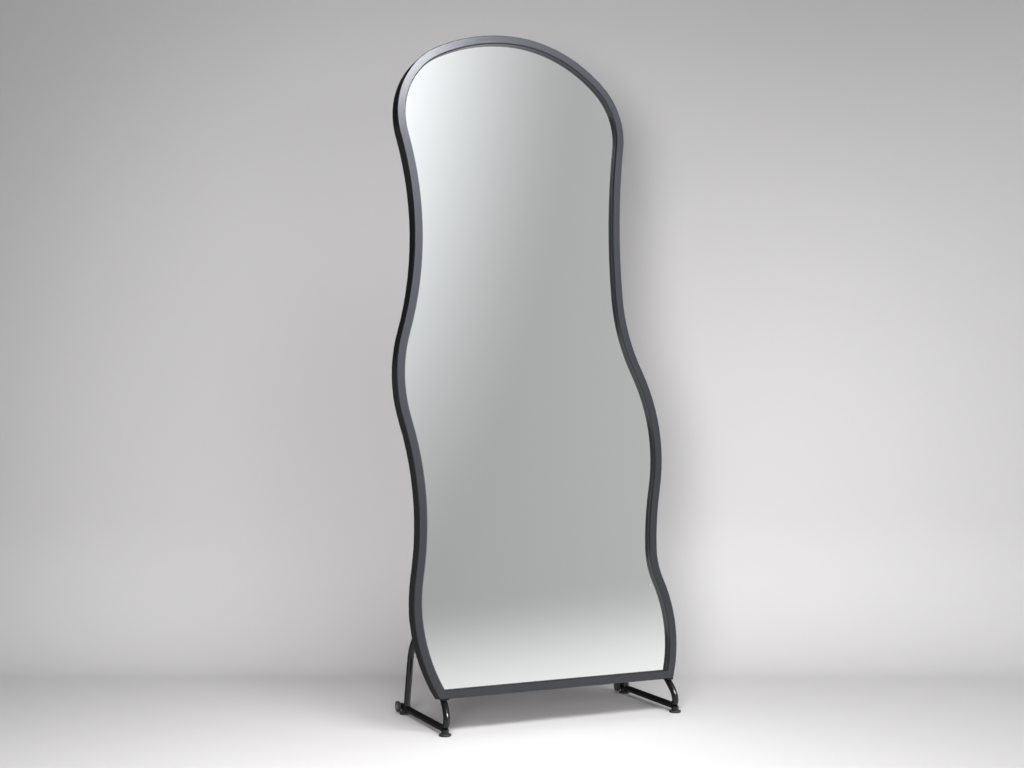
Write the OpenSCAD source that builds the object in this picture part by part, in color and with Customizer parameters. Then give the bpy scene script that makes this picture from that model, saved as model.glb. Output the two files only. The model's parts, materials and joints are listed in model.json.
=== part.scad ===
// Free-standing full-length mirror with a wavy metal frame on two bent-tube legs.
// Millimetres. +X right, +Y to the back, +Z up. The glass faces -Y and leans back.
// The floor is Z = 0 and the origin is on it, below the middle of the whole part.

/* [Stance] */

// Angle that the framed glass leans back from upright
lean = 8; // [0:0.5:15]

// Height of the frame's front bottom edge above the floor
frame_lift = 83; // [60:1:140]

// How far the frame's front bottom edge stands behind the front foot pads
frame_setback = 9.5; // [5:0.5:20]

/* [Outline of the frame] */

// Across position of the crown, the frame's highest point, from the middle of the legs
crown_x = -32; // [-80:1:80]

// Height of the crown along the frame, from its bottom edge. The whole outline grows with it.
crown_y = 1632; // [1400:1:1900]

// Left side bends as [radius, angle], from the crown down: crown
left_crown = [467, 26]; // [1:0.5:2500]

// Left shoulder
left_shoulder = [201, 77.5]; // [1:0.5:2500]

// Left upper waist, which bends the other way
left_high_waist = [882, 32]; // [1:0.5:2500]

// Left hip
left_hip = [381, 33.4]; // [1:0.5:2500]

// Left lower waist, which bends the other way
left_low_waist = [791, 26.6]; // [1:0.5:2500]

// Left bottom bend; the bottom edge cuts it off
left_toe = [413, 44]; // [1:0.5:2500]

// Right side bends as [radius, angle], from the crown down: crown
right_crown = [354, 46.5]; // [1:0.5:2500]

// Right shoulder
right_shoulder = [187, 53.7]; // [1:0.5:2500]

// Right upper waist, its long flat part
right_high_waist = [2062, 11.1]; // [1:0.5:2500]

// Right upper waist, its tighter part
right_mid_waist = [478, 23.2]; // [1:0.5:2500]

// Right hip
right_hip = [472, 37.6]; // [1:0.5:2500]

// Right lower waist, its flat part
right_low_waist = [802, 10.7]; // [1:0.5:2500]

// Right lower waist, its tight part
right_knee = [181, 24.8]; // [1:0.5:2500]

// Right bottom bend; the bottom edge cuts it off
right_toe = [359, 42]; // [1:0.5:2500]

/* [Frame profile] */

// Width of the frame's front face
face_w = 22; // [16:0.5:35]

// Depth of the frame from front to back
frame_d = 36; // [25:0.5:50]

// Width of the wall behind the front lip
wall_w = 12; // [8:0.5:16]

// Depth of the lip that stands in front of the glass
lip_d = 11.5; // [6:0.5:18]

// Bevel on the outer front edge
outer_bevel = 1.5; // [0.5:0.1:3]

// Bevel on the inner front edge
inner_bevel = 3; // [0.5:0.1:5]

/* [Glass and back] */

// Thickness of the bedding tape between the lip and the glass
tape_t = 0.8; // [0.5:0.1:2]

// Thickness of the glass
glass_t = 4; // [3:0.5:6]

// Thickness of the back panel
panel_t = 5; // [3:0.5:8]

// Gap between the edge of the glass and the frame's wall
edge_gap = 1.5; // [0.5:0.1:3]

// Thickness of the sheet that the panel clips are bent from
clip_t = 1.5; // [1:0.1:2.5]

// Length of a panel clip along the frame
clip_w = 22; // [12:1:30]

/* [Legs] */

// How far in from the frame's bottom corners the legs' runners stand
leg_in = 4.1; // [2:0.1:60]

// Diameter of the leg tube
tube_d = 16; // [12:0.5:25]

// Wall of the leg tube
tube_wall = 1.5; // [1:0.1:3]

// Height of the runner's centre line above the floor
runner_z = 15.5; // [12:0.5:30]

// Angle that the uprights lean in towards each other
splay = 6; // [0:0.5:10]

// Where the front bend starts, behind the front foot pad
front_bend_y = 15.5; // [5:0.5:30]

// Front bend, from the runner up, as [radius, angle]
front_bend = [20, 103]; // [1:0.5:150]

// Long bend of the front upright towards the frame, as [radius, angle]
front_sweep = [68, 36]; // [1:0.5:150]

// Where the rear strut's centre line meets the runner
strut_y = 238; // [200:1:260]

// Angle of the rear strut from upright
strut_lean = 16.5; // [5:0.5:30]

// Radius of the rear strut's top bend
strut_bend_r = 130; // [60:1:200]

// Height, along the frame, of the cross bar that the rear struts are bolted to
bar_y = 195; // [120:1:230]

// Width of the cross bar
bar_h = 30; // [20:1:50]

// Thickness of the cross bar
bar_t = 5; // [3:0.5:8]

// Thickness of the plates at the strut ends and under the frame's corners
plate_t = 4; // [3:0.5:6]

/* [Feet and rollers] */

// Where the rear foot pad stands, behind the front one
rear_pad_y = 260; // [220:1:280]

// Diameter of a foot pad
pad_d = 29; // [20:0.5:40]

// Height of a foot pad
pad_h = 6.5; // [5:0.5:12]

// Diameter of a foot pad's threaded stem
stem_d = 8; // [6:0.5:10]

// Radial running clearance of stems and axles
fit_gap = 0.05; // [0.01:0.01:0.1]

// Diameter of a roller
roller_d = 26.5; // [18:0.5:40]

// Width of one roller
roller_w = 7.5; // [5:0.5:15]

// Where the roller axle is, behind the front foot pad
axle_y = 277; // [260:1:300]

// Height of the roller axle above the floor
axle_z = 17; // [14:0.5:30]

// Diameter of the roller axle
axle_d = 6; // [4:0.5:8]

/* [Hidden] */

$fn = 96;

lap = 0.5;       // neighbouring bends run this far into each other
slim = 0.03;     // every second bend is this much slimmer all round, so that skins never coincide
air = 0.3;       // gap around bolts, screws and other fixed round pieces

key_t = 3;          // thickness of a corner key
screw_d = 3.5;      // clip and key screws
bar_screw_d = 4;    // cross bar screws
bolt_d = 6;         // strut plate bolts
cap_stud_d = 6;     // stud of a leg cap
cap_t = 3;          // thickness of a leg cap
key_h = 62;         // height of a corner key

tube_r = tube_d / 2;
bore_r = tube_r - tube_wall;
strut_r = tube_r - 0.1;
boss_z = pad_h + 0.5;
boss_top = runner_z + bore_r - 3;
hub_r = roller_d / 2 - 4;
roller_x = tube_r + 0.8;
glass_n = wall_w + edge_gap;
tape_z = -lip_d - tape_t;
glass_z = tape_z - glass_t;
panel_z = glass_z - panel_t;

// A bend is [radius, angle, turn]. The turn is 1 towards the inside of the frame and -1 away from it.
// The radii are drawn for a crown at 1632 and grow with it.
grow = crown_y / 1632;
function bend(size, turn) = [size[0] * grow, size[1], turn];

left_bends = [bend(left_crown, 1), bend(left_shoulder, 1), bend(left_high_waist, -1),
              bend(left_hip, 1), bend(left_low_waist, -1), bend(left_toe, 1)];
right_bends = [bend(right_crown, 1), bend(right_shoulder, 1), bend(right_high_waist, -1),
               bend(right_mid_waist, -1), bend(right_hip, 1), bend(right_low_waist, -1),
               bend(right_knee, -1), bend(right_toe, 1)];

// A pose on a side's outline is [x, y, heading], walked down from the crown with x outwards.
function arc_centre(pose, b) =
    [pose[0] - b[2] * b[0] * sin(pose[2]), pose[1] - b[2] * b[0] * cos(pose[2])];
function next_pose(pose, b) =
    let (c = arc_centre(pose, b), turned = pose[2] + b[2] * b[1])
    [c[0] + b[2] * b[0] * sin(turned), c[1] + b[2] * b[0] * cos(turned), turned];
function mid_pose(pose, b) = next_pose(pose, [b[0], b[1] / 2, b[2]]);
function poses(bends, start) =
    [for (i = 0, p = start; i <= len(bends); p = i < len(bends) ? next_pose(p, bends[i]) : p, i = i + 1) p];

left_poses = poses(left_bends, [-crown_x * grow, crown_y, 0]);
right_poses = poses(right_bends, [crown_x * grow - lap / 2, crown_y, 0]);

// Where the last bend of a side, set in by n, crosses the height y, measured outwards
function foot_x(all_poses, bends, n, y) =
    let (last = len(bends) - 1, c = arc_centre(all_poses[last], bends[last]), r = bends[last][0] - n)
    c[0] + sqrt(r * r - (c[1] - y) * (c[1] - y));

// The farthest that a side reaches outwards, at the bend that passes straight down
function widest(all_poses, bends) =
    max([for (i = [0:len(bends) - 1])
        bends[i][2] > 0 && all_poses[i][2] < 90 && all_poses[i + 1][2] > 90
            ? arc_centre(all_poses[i], bends[i])[0] + bends[i][0] : 0]);

// Points on a side's outline set in by n, four to each bend
function inset_points(all_poses, bends, n) =
    [for (i = [0:len(bends) - 1], k = [0:3])
        let (b = bends[i], c = arc_centre(all_poses[i], b), h = all_poses[i][2] + b[2] * b[1] * (k + 0.5) / 4)
        [c[0] + (b[2] * b[0] - n) * sin(h), c[1] + (b[2] * b[0] - n) * cos(h)]];

left_x = foot_x(left_poses, left_bends, 0, 0);
right_x = foot_x(right_poses, right_bends, 0, 0);
leg_x = (left_x + right_x) / 2 - leg_in;
reach = crown_y;    // farther out than any piece of the frame
mid_x = (widest(right_poses, right_bends) - widest(left_poses, left_bends)) / 2;
back_y = axle_y + roller_d / 2;
mid_y = (back_y - pad_d / 2) / 2;

// The front upright's centre line, seen from the side: its last heading from upright, where its bends
// end behind the pad and above the runner, and how far it runs straight on to the frame's underside
upright_lean = front_bend[1] + front_sweep[1] - 90;
upright_y = front_bend_y - front_bend[0] * sin(front_bend[1])
    - front_sweep[0] * (cos(upright_lean) - sin(front_bend[1]));
upright_z = front_bend[0] * (1 - cos(front_bend[1]))
    + front_sweep[0] * (cos(front_bend[1]) + sin(upright_lean));
upright_gap = -cap_t - (upright_y - frame_setback) * sin(lean)
    + (frame_lift - runner_z - upright_z * cos(splay)) * cos(lean);
upright_run = upright_gap / (sin(upright_lean) * sin(lean) + cos(upright_lean) * cos(splay) * cos(lean));

// Where that is on the frame: how far out from its middle, and how deep from its front
cap_x = leg_x - (frame_lift - cap_t - runner_z) * tan(splay);
cap_d = (upright_y + upright_run * sin(upright_lean) - frame_setback) * cos(lean)
    + (frame_lift - runner_z - (upright_z + upright_run * cos(upright_lean)) * cos(splay)) * sin(lean);
cap_w = tube_d - 0.6;
cap_l = tube_d / cos(upright_lean - lean) + 1.8;

// The strut's end on its plate: its height above the runner, how far in, and its straight length
strut_rise = frame_lift - runner_z + bar_y * cos(lean) - (frame_d + bar_t + plate_t) * sin(lean);
strut_x = leg_x - strut_rise * tan(splay);
strut_len = (strut_rise / cos(splay) - strut_bend_r * (cos(lean) - sin(strut_lean))) / cos(strut_lean);

// Puts what is drawn with the legs' middle at x = 0 and the front pads at y = 0 over the origin
module on_floor() {
    translate([-mid_x, -mid_y, 0]) children();
}

// Puts what is drawn flat, face up, with the frame's bottom front edge on the x axis, at its lean
module on_frame() {
    on_floor() translate([0, frame_setback, frame_lift]) rotate([90 - lean, 0, 0]) children();
}

/* Frame */

// The frame's section: x is inwards from the outer edge, y is 0 at the front and negative behind it
module frame_section(thin) {
    polygon([[thin, -frame_d + thin], [thin, -outer_bevel], [outer_bevel, -thin],
             [face_w - inner_bevel, -thin], [face_w - thin, -inner_bevel],
             [face_w - thin, -lip_d + thin], [wall_w - thin, -lip_d + thin],
             [wall_w - thin, -frame_d + thin]]);
}

module strip_section(from, to, low, high, thin) {
    translate([from + thin, low + thin]) square([to - from - 2 * thin, high - low - 2 * thin]);
}

// One bend of the outline. It starts at the origin, heads along +x and has the inside on +y.
module bent(b) {
    r = b[0];
    more = lap / r * 180 / PI;
    if (b[2] > 0) {
        translate([0, r, 0]) rotate([0, 0, -90]) rotate_extrude(angle = b[1] + more)
            translate([r, 0]) mirror([1, 0]) children();
    } else {
        translate([0, -r, 0]) rotate([0, 0, 90 - b[1] - more]) rotate_extrude(angle = b[1] + more)
            translate([r, 0]) children();
    }
}

// Carries what follows to the end of a bend
module past(b) {
    translate([0, b[2] * b[0], 0]) rotate([0, 0, b[2] * b[1]]) translate([0, -b[2] * b[0], 0]) children();
}

// Bends one after another. The two children are the full and the slim section.
module bend_run(bends, i = 0) {
    if (i < len(bends)) {
        bent(bends[i]) children((i + $first) % 2);
        past(bends[i]) bend_run(bends, i + 1) {
            children(0);
            children(1);
        }
    }
}

module both_sides() {
    translate([crown_x * grow, crown_y, 0]) rotate([0, 0, 180]) {
        $first = 0;
        bend_run(left_bends) {
            children(0);
            children(1);
        }
    }
    translate([crown_x * grow - lap / 2, crown_y, 0]) mirror([1, 0, 0]) rotate([0, 0, 180]) {
        $first = 1;
        bend_run(right_bends) {
            children(0);
            children(1);
        }
    }
}

// Everything beyond the mitre planes at the two bottom corners, where the bottom rail is
module rail_side() {
    l0 = -left_x;
    r0 = right_x;
    l1 = -foot_x(left_poses, left_bends, face_w, face_w);
    r1 = foot_x(right_poses, right_bends, face_w, face_w);
    translate([0, 0, -frame_d - 1]) linear_extrude(frame_d + 2)
        polygon([[l0 - (l1 - l0), -face_w], [l1 + (l1 - l0), 2 * face_w],
                 [r1 + (r1 - r0), 2 * face_w], [r0 - (r1 - r0), -face_w]]);
}

module below(y) {
    translate([-reach, y - reach, -2 * frame_d]) cube([2 * reach, reach, 3 * frame_d]);
}

// Carries what follows to a pose on one side, heading down the outline with the inside on +y
module at_pose(side, pose) {
    if (side < 0)
        translate([-pose[0], pose[1], 0]) rotate([0, 0, 180 + pose[2]]) children();
    else
        translate([pose[0], pose[1], 0]) mirror([1, 0, 0]) rotate([0, 0, 180 + pose[2]]) children();
}

// The panel clips stand in the middle of the bends, and at three places along the bottom rail
module at_bow_clips() {
    for (i = [0:4]) at_pose(-1, mid_pose(left_poses[i], left_bends[i])) children();
    for (i = [1:6]) at_pose(1, mid_pose(right_poses[i], right_bends[i])) children();
}

module at_rail_clips() {
    for (i = [-1:1]) translate([i * leg_x * 0.6, 0, 0]) children();
}

// The four screws of one corner key: two in the bow's wall and two in the bottom rail's
module at_key_screws(side) {
    all_poses = side < 0 ? left_poses : right_poses;
    bends = side < 0 ? left_bends : right_bends;
    n = wall_w / 2;
    for (y = [28, 52]) translate([side * foot_x(all_poses, bends, n, y), y, 0]) children();
    for (in = [22, 46]) translate([side * (foot_x(all_poses, bends, n, n) - in), n, 0]) children();
}

// The two screws at each end of the cross bar
module at_bar_screws() {
    n = wall_w / 2;
    for (y = [bar_y - 7, bar_y + 7]) {
        translate([-foot_x(left_poses, left_bends, n, y), y, 0]) children();
        translate([foot_x(right_poses, right_bends, n, y), y, 0]) children();
    }
}

// Where the front uprights end, under the frame's corners
module at_caps() {
    for (side = [-1, 1]) translate([side * cap_x, 0, -cap_d]) children();
}

// A blind hole into the back of the frame
module back_hole(d, deep) {
    translate([0, 0, -frame_d - 0.5]) cylinder(d = d, h = deep + 0.5);
}

module frame_holes() {
    at_bow_clips() translate([0, wall_w / 2, 0]) back_hole(screw_d + 2 * air, 11);
    at_rail_clips() translate([0, wall_w / 2, 0]) back_hole(screw_d + 2 * air, 11);
    for (side = [-1, 1]) at_key_screws(side) back_hole(screw_d + 2 * air, 11);
    at_bar_screws() back_hole(bar_screw_d + 2 * air, 14);
    at_caps() rotate([-90, 0, 0]) translate([0, 0, -1]) cylinder(d = cap_stud_d + 2 * air, h = wall_w - 1);
}

module frame_bow() {
    color("dimgray") on_frame() difference() {
        both_sides() {
            frame_section(0);
            frame_section(slim);
        }
        rail_side();
        below(0);
        frame_holes();
    }
}

module bottom_rail() {
    color("dimgray") on_frame() difference() {
        intersection() {
            translate([-left_x - 2 * face_w, 0, 0]) rotate([90, 0, 90])
                linear_extrude(left_x + right_x + 4 * face_w) frame_section(0);
            rail_side();
        }
        frame_holes();
    }
}

// Flat gusset across a bottom corner, on the back of the frame. It follows the bow's curve.
module corner_key(side) {
    all_poses = side < 0 ? left_poses : right_poses;
    bends = side < 0 ? left_bends : right_bends;
    last = len(bends) - 1;
    low = -frame_d - key_t;
    difference() {
        union() {
            intersection() {
                at_pose(side, all_poses[last]) bent(bends[last])
                    strip_section(1.5, wall_w - 0.5, low, -frame_d, 0);
                translate([-reach, 1.5, low - 1]) cube([2 * reach, key_h, key_t + 2]);
            }
            translate([side * (foot_x(all_poses, bends, 1.5, 1.5) - 32) - 28, 1.5, low])
                cube([56, wall_w - 2, key_t]);
        }
        at_key_screws(side) translate([0, 0, low - 1]) cylinder(d = screw_d + 2 * air, h = key_t + 2);
    }
}

module corner_key_left() {
    color("silver") on_frame() corner_key(-1);
}

module corner_key_right() {
    color("silver") on_frame() corner_key(1);
}

// A pan-head screw into the back of the frame, under whose head lies a sheet of thickness t
module pan_screw(t, d, length) {
    translate([0, 0, -frame_d - t]) {
        difference() {
            translate([0, 0, -d * 0.6]) cylinder(d1 = d * 1.7, d2 = d * 2.1, h = d * 0.6);
            translate([-d, -d * 0.12, -d]) cube([2 * d, d * 0.24, d * 0.7]);
            translate([-d * 0.12, -d, -d]) cube([d * 0.24, 2 * d, d * 0.7]);
        }
        cylinder(d = d, h = length);
    }
}

module key_screws() {
    color("gainsboro") on_frame() for (side = [-1, 1]) at_key_screws(side) pan_screw(key_t, screw_d, 11);
}

/* Glass and back */

// A flat sheet that fills the outline, set in by n. Its curved rim is exact.
module sheet(n, low, high) {
    rim = 34;
    difference() {
        union() {
            both_sides() {
                strip_section(n, n + rim, low, high, 0);
                strip_section(n, n + rim, low, high, slim);
            }
            translate([0, 0, low + 2 * slim]) linear_extrude(high - low - 4 * slim)
                polygon(concat(
                    [for (p = inset_points(left_poses, left_bends, n + rim / 2)) [-p[0], p[1]]],
                    [[-left_x * 0.8, -face_w], [right_x * 0.8, -face_w]],
                    [for (i = [len(right_bends) * 4 - 1:-1:0])
                        inset_points(right_poses, right_bends, n + rim / 2)[i]]));
        }
        below(n);
    }
}

module mirror_glass() {
    color("lightsteelblue") on_frame() sheet(glass_n, glass_z, tape_z);
}

module back_panel() {
    color("saddlebrown") on_frame() sheet(glass_n, panel_z, glass_z);
}

// Soft tape that beds the glass against the back of the lip
module glass_tape() {
    from = glass_n;
    to = face_w - 1.5;
    color("black") on_frame() {
        difference() {
            both_sides() {
                strip_section(from, to, tape_z, -lip_d, 0);
                strip_section(from, to, tape_z, -lip_d, slim);
            }
            below(from);
        }
        translate([-foot_x(left_poses, left_bends, from + 2, from), from, tape_z])
            cube([foot_x(left_poses, left_bends, from + 2, from)
                  + foot_x(right_poses, right_bends, from + 2, from), to - from, tape_t]);
    }
}

// Bent from sheet: a flange under the screw, a leg down beside the wall and a foot on the panel
module panel_clip() {
    leg_n = wall_w + 0.8;
    difference() {
        translate([-clip_w / 2, 1.5, -frame_d - clip_t]) cube([clip_w, leg_n + clip_t - 1.5, clip_t]);
        translate([0, wall_w / 2, -frame_d - 5]) cylinder(d = screw_d + 2 * air, h = 10);
    }
    translate([-clip_w / 2, leg_n, -frame_d - clip_t])
        cube([clip_w, clip_t, frame_d + clip_t + panel_z]);
    translate([-clip_w / 2, leg_n, panel_z - clip_t]) cube([clip_w, 14, clip_t]);
}

module panel_clips() {
    color("silver") on_frame() {
        at_bow_clips() panel_clip();
        at_rail_clips() panel_clip();
    }
}

module clip_screws() {
    color("gainsboro") on_frame() {
        at_bow_clips() translate([0, wall_w / 2, 0]) pan_screw(clip_t, screw_d, 10);
        at_rail_clips() translate([0, wall_w / 2, 0]) pan_screw(clip_t, screw_d, 10);
    }
}

/* Cross bar */

// The disc that the last bend of a side is a part of, set in by n
module toe_disc(side, n, low, high) {
    all_poses = side < 0 ? left_poses : right_poses;
    bends = side < 0 ? left_bends : right_bends;
    last = len(bends) - 1;
    c = arc_centre(all_poses[last], bends[last]);
    translate([side * c[0], c[1], low]) cylinder(r = bends[last][0] - n, h = high - low);
}

// The bolts of the strut plates, two inboard of each strut
module at_plate_bolts(side) {
    for (in = [22, 46]) translate([side * (strut_x - in), bar_y, 0]) children();
}

module cross_bar() {
    low = -frame_d - bar_t;
    color("dimgray") on_frame() difference() {
        intersection() {
            translate([-reach, bar_y - bar_h / 2, low]) cube([2 * reach, bar_h, bar_t]);
            toe_disc(-1, 1.5, low - 1, 0);
            toe_disc(1, 1.5, low - 1, 0);
        }
        at_bar_screws() translate([0, 0, low]) {
            translate([0, 0, -1]) cylinder(d = bar_screw_d + 2 * air, h = bar_t + 2);
            cylinder(d1 = 2 * bar_screw_d + 2 * air, d2 = bar_screw_d + 2 * air, h = bar_screw_d / 2);
        }
        for (side = [-1, 1]) at_plate_bolts(side) translate([0, 0, low - 1])
            cylinder(d = bolt_d + 2 * air, h = bar_t + 2);
    }
}

// Countersunk, flush with the back of the bar. The head's cone stands a hair off its seat.
module bar_screws() {
    color("gainsboro") on_frame() at_bar_screws() translate([0, 0, -frame_d - bar_t]) difference() {
        union() {
            cylinder(d1 = 2 * bar_screw_d, d2 = bar_screw_d, h = bar_screw_d / 2);
            cylinder(d = bar_screw_d, h = bar_t + 12);
        }
        translate([-bar_screw_d, -0.5, -1]) cube([2 * bar_screw_d, 1, 2]);
    }
}

module strut_plate(side) {
    low = -frame_d - bar_t - plate_t;
    difference() {
        translate([side * (strut_x - 24) - 34, bar_y - 12, low]) cube([68, 24, plate_t]);
        at_plate_bolts(side) translate([0, 0, low - 1]) cylinder(d = bolt_d + 2 * air, h = plate_t + 2);
    }
}

module strut_plate_left() {
    color("black") on_frame() strut_plate(-1);
}

module strut_plate_right() {
    color("black") on_frame() strut_plate(1);
}

// Button-head bolts from behind
module plate_bolts() {
    low = -frame_d - bar_t - plate_t;
    color("gainsboro") on_frame() for (side = [-1, 1]) at_plate_bolts(side) translate([0, 0, low]) {
        difference() {
            translate([0, 0, -2.8]) cylinder(d1 = 6, d2 = 10.5, h = 2.8);
            translate([0, 0, -3]) cylinder(d = 3.6, h = 2, $fn = 6);
        }
        cylinder(d = bolt_d, h = bar_t + plate_t + 7);
    }
}

module plate_nuts() {
    color("gainsboro") on_frame() for (side = [-1, 1]) at_plate_bolts(side) translate([0, 0, -frame_d])
        difference() {
            cylinder(d = 11.5, h = 5, $fn = 6);
            translate([0, 0, -1]) cylinder(d = bolt_d + 2 * air, h = 7);
        }
}

/* Legs */

// One bend of a tube. It starts at the origin, heads along -y and turns up.
module tube_bend(b, r, more) {
    translate([0, 0, b[0]]) rotate([0, -90, 0]) rotate([0, 0, 180])
        rotate_extrude(angle = b[1] + more) translate([b[0], 0]) circle(r = r);
}

// A straight length of tube from the origin along -y
module tube_straight(length, r) {
    rotate([90, 0, 0]) cylinder(r = r, h = length);
}

// Carries what follows to the end of a tube bend
module past_tube(b) {
    translate([0, 0, b[0]]) rotate([-b[1], 0, 0]) translate([0, 0, -b[0]]) children();
}

// The front upright, from where the runner starts to bend. Its straight end is cut at the frame.
module front_run(r) {
    tube_bend(front_bend, r, lap / front_bend[0] * 180 / PI);
    past_tube(front_bend) {
        tube_bend(front_sweep, r - slim, lap / front_sweep[0] * 180 / PI);
        past_tube(front_sweep) tube_straight(max(lap, upright_run + tube_d), r);
    }
}

// The rear strut, up from the runner. Its end runs on, to be cut where the strut plate is.
module strut_run(r, skip) {
    sweep = [strut_bend_r, 90 - lean - strut_lean];
    rotate([-90 + strut_lean, 0, 0]) mirror([0, 0, 1]) {
        translate([0, -skip, 0]) tube_straight(strut_len - skip + lap, r);
        translate([0, -strut_len, 0]) {
            tube_bend(sweep, r - slim, 0);
            past_tube(sweep) translate([0, lap, 0]) tube_straight(2.5 * tube_d, r);
        }
    }
}

// What the frame and its cross bar leave no room for: tubes end there
module frame_block() {
    translate([-reach, -cap_t, -frame_d - bar_t - plate_t]) cube([2 * reach, reach, 4 * frame_d]);
}

// A threaded boss over a foot pad, welded into the tube
module foot_boss(y) {
    translate([0, y, boss_z - runner_z]) cylinder(d = stem_d + 5, h = boss_top - boss_z);
}

module leg(side) {
    on_floor() difference() {
        translate([side * leg_x, 0, runner_z]) difference() {
            union() {
                difference() {
                    union() {
                        translate([0, axle_y + 9, 0]) tube_straight(axle_y + 9 - front_bend_y + lap, tube_r - slim);
                        rotate([0, -side * splay, 0]) {
                            translate([0, front_bend_y, 0]) front_run(tube_r);
                            translate([0, strut_y, 0]) strut_run(strut_r, 0);
                        }
                    }
                    translate([0, axle_y + 10, 0]) tube_straight(axle_y + 10 - front_bend_y + lap, bore_r);
                    rotate([0, -side * splay, 0]) {
                        translate([0, front_bend_y, 0]) front_run(bore_r - slim);
                        translate([0, strut_y, 0]) strut_run(strut_r - tube_wall, tube_r + 3);
                    }
                }
                foot_boss(0);
                foot_boss(rear_pad_y);
            }
            for (y = [0, rear_pad_y]) translate([0, y, boss_z - runner_z - 1])
                cylinder(r = stem_d / 2 + fit_gap, h = boss_top - boss_z + 3.5);
            translate([0, axle_y, axle_z - runner_z]) rotate([0, 90, 0])
                cylinder(d = axle_d + 2 * air, h = 2 * tube_d, center = true);
        }
        translate([0, frame_setback, frame_lift]) rotate([90 - lean, 0, 0]) frame_block();
    }
}

module leg_left() {
    color("black") leg(-1);
}

module leg_right() {
    color("black") leg(1);
}

// Plate under the frame's corner with a stud up into it. The front upright is welded to it.
module leg_cap(side) {
    on_frame() translate([side * cap_x, 0, -cap_d]) {
        translate([-cap_w / 2, -cap_t, -cap_l / 2]) cube([cap_w, cap_t, cap_l]);
        rotate([-90, 0, 0]) cylinder(d = cap_stud_d, h = wall_w - 3);
    }
}

module leg_cap_left() {
    color("black") leg_cap(-1);
}

module leg_cap_right() {
    color("black") leg_cap(1);
}

// Closes the runner's rear end and carries the roller axle
module runner_plug(side) {
    on_floor() translate([side * leg_x, 0, runner_z]) difference() {
        union() {
            translate([0, axle_y + 9.5, 0]) tube_straight(20, bore_r - air);
            translate([0, axle_y + 11, 0]) tube_straight(2, tube_r - slim);
        }
        translate([0, axle_y, axle_z - runner_z]) rotate([0, 90, 0])
            cylinder(r = axle_d / 2 + fit_gap, h = 2 * tube_d, center = true);
    }
}

module runner_plug_left() {
    color("dimgray") runner_plug(-1);
}

module runner_plug_right() {
    color("dimgray") runner_plug(1);
}

/* Rollers */

module on_axle(side) {
    on_floor() translate([side * leg_x, axle_y, axle_z]) rotate([0, 90, 0]) children();
}

module roller_axle(side) {
    on_axle(side) cylinder(d = axle_d, h = 2 * (roller_x + roller_w) - 1, center = true);
}

// A dished disc, pressed on the axle
module roller_hub() {
    difference() {
        cylinder(r = hub_r, h = roller_w);
        translate([0, 0, roller_w - 1.5]) difference() {
            cylinder(r1 = hub_r - 2.2, r2 = hub_r - 1.2, h = 2);
            cylinder(r = 4.4, h = 2);
        }
        translate([0, 0, -1]) cylinder(r = axle_d / 2 - 0.02, h = roller_w + 2);
    }
}

module roller_tyre() {
    difference() {
        rotate_extrude() polygon([[0, 0], [roller_d / 2 - 1, 0], [roller_d / 2, 1],
            [roller_d / 2, roller_w - 1], [roller_d / 2 - 1, roller_w], [0, roller_w]]);
        translate([0, 0, -1]) cylinder(r = hub_r - 0.05, h = roller_w + 2);
    }
}

// One roller on each side of the runner, faces outwards
module both_rollers(side) {
    on_axle(side) for (turn = [0, 180]) rotate([turn, 0, 0]) translate([0, 0, roller_x]) children();
}

module roller_axle_left() {
    color("silver") roller_axle(-1);
}

module roller_axle_right() {
    color("silver") roller_axle(1);
}

module roller_hubs_left() {
    color("gray") both_rollers(-1) roller_hub();
}

module roller_hubs_right() {
    color("gray") both_rollers(1) roller_hub();
}

module roller_tyres_left() {
    color("black") both_rollers(-1) roller_tyre();
}

module roller_tyres_right() {
    color("black") both_rollers(1) roller_tyre();
}

/* Levelling glides */

module glide_pad(side, y) {
    r = pad_d / 2;
    on_floor() translate([side * leg_x, y, 0]) rotate_extrude()
        polygon([[0, 0], [r - 0.6, 0], [r, 0.6], [r, 2.6], [r - 0.8, 3.2], [stem_d / 2 + 4, pad_h - 0.4],
                 [stem_d / 2 + 3.4, pad_h], [stem_d / 2 + fit_gap, pad_h], [stem_d / 2 + fit_gap, 2], [0, 2]]);
}

module glide_stem(side, y) {
    on_floor() translate([side * leg_x, y, 2]) {
        cylinder(d = stem_d, h = boss_top - 2);
        translate([0, 0, boss_top - 2]) cylinder(d1 = stem_d, d2 = stem_d - 2, h = 1);
    }
}

module glide_pad_front_left() {
    color("black") glide_pad(-1, 0);
}

module glide_pad_front_right() {
    color("black") glide_pad(1, 0);
}

module glide_pad_rear_left() {
    color("black") glide_pad(-1, rear_pad_y);
}

module glide_pad_rear_right() {
    color("black") glide_pad(1, rear_pad_y);
}

module glide_stem_front_left() {
    color("silver") glide_stem(-1, 0);
}

module glide_stem_front_right() {
    color("silver") glide_stem(1, 0);
}

module glide_stem_rear_left() {
    color("silver") glide_stem(-1, rear_pad_y);
}

module glide_stem_rear_right() {
    color("silver") glide_stem(1, rear_pad_y);
}

frame_bow();
bottom_rail();
corner_key_left();
corner_key_right();
key_screws();
mirror_glass();
glass_tape();
back_panel();
panel_clips();
clip_screws();
cross_bar();
bar_screws();
strut_plate_left();
strut_plate_right();
plate_bolts();
plate_nuts();
leg_left();
leg_right();
leg_cap_left();
leg_cap_right();
runner_plug_left();
runner_plug_right();
roller_axle_left();
roller_axle_right();
roller_hubs_left();
roller_hubs_right();
roller_tyres_left();
roller_tyres_right();
glide_pad_front_left();
glide_pad_front_right();
glide_pad_rear_left();
glide_pad_rear_right();
glide_stem_front_left();
glide_stem_front_right();
glide_stem_rear_left();
glide_stem_rear_right();
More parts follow.
